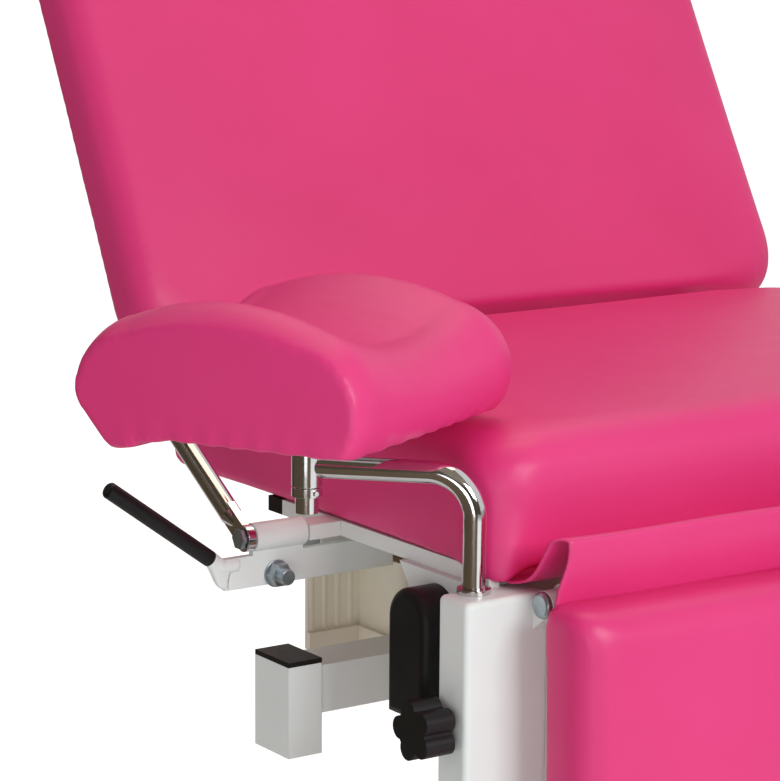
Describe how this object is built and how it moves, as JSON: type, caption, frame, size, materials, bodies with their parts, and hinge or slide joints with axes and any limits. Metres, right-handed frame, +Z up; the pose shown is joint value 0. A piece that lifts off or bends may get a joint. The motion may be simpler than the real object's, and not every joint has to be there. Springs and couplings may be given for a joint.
{
  "type": "gynecological examination chair",
  "caption": "Examination chair with pink padded seat, reclining backrest, hanging leg rest, knee crutches on chrome rods and a lifting column.",
  "frame": {"origin": "on the floor, under the middle of the whole chair", "axes": "+X across the chair to the patient's left, -Y towards the foot end, +Y towards the backrest, +Z up"},
  "size_m": [1.2998, 1.0102, 1.2497],
  "materials": {
    "pink_vinyl": "satin",
    "white_paint": "satin",
    "chrome": "polished",
    "zinc_steel": "satin",
    "black_plastic": "matte",
    "black_rubber": "matte",
    "cream_plastic": "satin",
    "plywood": "matte"
  },
  "bodies": {
    "base": {"base_side_tubes": "white_paint", "base_cross_tubes": "white_paint", "base_end_caps": "black_plastic", "foot_pads": "black_rubber", "base_fasteners": "zinc_steel", "column_foot_plate": "white_paint", "column_outer": "white_paint", "column_wiper_lower": "black_plastic", "lift_gearmotor": "black_plastic", "lift_screw": "zinc_steel", "power_inlet": "black_plastic"},
    "column_middle_stage": {"column_middle": "white_paint", "column_wiper_upper": "black_plastic"},
    "seat": {"column_inner": "white_paint", "column_head_plate": "white_paint", "carriage_beams": "white_paint", "carriage_uprights": "white_paint", "frame_plugs": "black_plastic", "side_covers": "cream_plastic", "seat_rails": "white_paint", "seat_cross_tubes": "white_paint", "seat_spines": "white_paint", "gussets": "white_paint", "front_blocks": "white_paint", "seat_board": "plywood", "seat_cushion": "pink_vinyl", "front_flap": "pink_vinyl", "hinge_lugs": "white_paint", "pivot_bolts": "zinc_steel", "pivot_bosses": "white_paint", "recliner_discs": "zinc_steel", "leg_gearmotor": "black_plastic"},
    "backrest": {"backrest_cushion": "pink_vinyl", "backrest_board": "plywood", "backrest_frame": "white_paint", "backrest_pivot": "white_paint"},
    "leg_rest": {"leg_rest_cushion": "pink_vinyl", "leg_rest_board": "plywood", "leg_rest_frame": "white_paint"},
    "torque_shaft": {"torque_shaft": "zinc_steel"},
    "drive_links": {"drive_links": "zinc_steel"},
    "left_bush": {"left_socket_bush": "chrome"},
    "left_crutch_arm": {"left_crutch_rod": "chrome"},
    "left_crutch_head": {"left_crutch_spindle": "chrome", "left_crutch_pad": "pink_vinyl"},
    "left_knob": {"left_clamp_knob": "black_plastic"},
    "left_lever": {"left_release_lever": "white_paint", "left_lever_grip": "black_plastic"},
    "left_bar": {"left_hand_bar": "chrome", "left_hand_bar_grip": "black_rubber"},
    "right_bush": {"right_socket_bush": "chrome"},
    "right_crutch_arm": {"right_crutch_rod": "chrome"},
    "right_crutch_head": {"right_crutch_spindle": "chrome", "right_crutch_pad": "pink_vinyl"},
    "right_knob": {"right_clamp_knob": "black_plastic"},
    "right_lever": {"right_release_lever": "white_paint", "right_lever_grip": "black_plastic"},
    "right_bar": {"right_hand_bar": "chrome", "right_hand_bar_grip": "black_rubber"}
  },
  "joints": [
    {"name": "lift_middle", "type": "slide", "parent": "base", "child": "column_middle_stage", "axis": [0, 0, 1], "range_m": [0, 0.12]},
    {"name": "lift_inner", "type": "slide", "parent": "column_middle_stage", "child": "seat", "axis": [0, 0, 1], "range_m": [0, 0.12]},
    {"name": "backrest_recline", "type": "hinge", "parent": "seat", "child": "backrest", "pos_m": [0, 0.1479, 0.562], "axis": [-1, 0, 0], "range_deg": [0, 60]},
    {"name": "leg_rest_raise", "type": "hinge", "parent": "seat", "child": "leg_rest", "pos_m": [0, -0.4251, 0.494], "axis": [-1, 0, 0], "range_deg": [0, 90], "deforming": ["front_flap"]},
    {"name": "torque_shaft_turn", "type": "hinge", "parent": "seat", "child": "torque_shaft", "pos_m": [0, -0.3231, 0.44], "axis": [-1, 0, 0], "range_deg": [0, 90]},
    {"name": "drive_links_swing", "type": "hinge", "parent": "torque_shaft", "child": "drive_links", "pos_m": [0, -0.3006, 0.40103], "axis": [-1, 0, 0], "range_deg": [-90, 0]},
    {"name": "left_crutch_swing", "type": "hinge", "parent": "seat", "child": "left_bush", "pos_m": [-0.391, -0.3851, 0.5], "axis": [0, 0, 1], "range_deg": [-20, 110]},
    {"name": "left_crutch_height", "type": "slide", "parent": "left_bush", "child": "left_crutch_arm", "axis": [0, 0, 1], "range_m": [0, 0.06]},
    {"name": "left_crutch_pad_turn", "type": "hinge", "parent": "left_crutch_arm", "child": "left_crutch_head", "pos_m": [-0.48016, -0.29049, 0.5945], "axis": [0, 0, 1], "range_deg": [-45, 45]},
    {"name": "left_knob_turn", "type": "hinge", "parent": "seat", "child": "left_knob", "pos_m": [-0.416, -0.3851, 0.4], "axis": [-1, 0, 0], "range_deg": [-180, 0]},
    {"name": "left_lever_pull", "type": "hinge", "parent": "seat", "child": "left_lever", "pos_m": [-0.391, -0.1651, 0.5065], "axis": [-1, 0, 0], "range_deg": [0, 25], "stiffness_Nm_per_rad": 1, "springref_deg": -17.19},
    {"name": "left_hand_bar_fold", "type": "hinge", "parent": "seat", "child": "left_bar", "pos_m": [-0.391, -0.1651, 0.5065], "axis": [-1, 0, 0], "range_deg": [0, 70]},
    {"name": "right_crutch_swing", "type": "hinge", "parent": "seat", "child": "right_bush", "pos_m": [0.391, -0.3851, 0.5], "axis": [0, 0, -1], "range_deg": [-20, 110]},
    {"name": "right_crutch_height", "type": "slide", "parent": "right_bush", "child": "right_crutch_arm", "axis": [0, 0, 1], "range_m": [0, 0.06]},
    {"name": "right_crutch_pad_turn", "type": "hinge", "parent": "right_crutch_arm", "child": "right_crutch_head", "pos_m": [0.48016, -0.29049, 0.5945], "axis": [0, 0, -1], "range_deg": [-45, 45]},
    {"name": "right_knob_turn", "type": "hinge", "parent": "seat", "child": "right_knob", "pos_m": [0.416, -0.3851, 0.4], "axis": [1, 0, 0], "range_deg": [-180, 0]},
    {"name": "right_lever_pull", "type": "hinge", "parent": "seat", "child": "right_lever", "pos_m": [0.391, -0.1651, 0.5065], "axis": [-1, 0, 0], "range_deg": [0, 25], "stiffness_Nm_per_rad": 1, "springref_deg": -17.19},
    {"name": "right_hand_bar_fold", "type": "hinge", "parent": "seat", "child": "right_bar", "pos_m": [0.391, -0.1651, 0.5065], "axis": [-1, 0, 0], "range_deg": [0, 70]}
  ],
  "couplings": [
    {"joint": "lift_inner", "follows": "lift_middle", "ratio": 1},
    {"joint": "torque_shaft_turn", "follows": "leg_rest_raise", "ratio": 1},
    {"joint": "drive_links_swing", "follows": "leg_rest_raise", "ratio": -1}
  ]
}
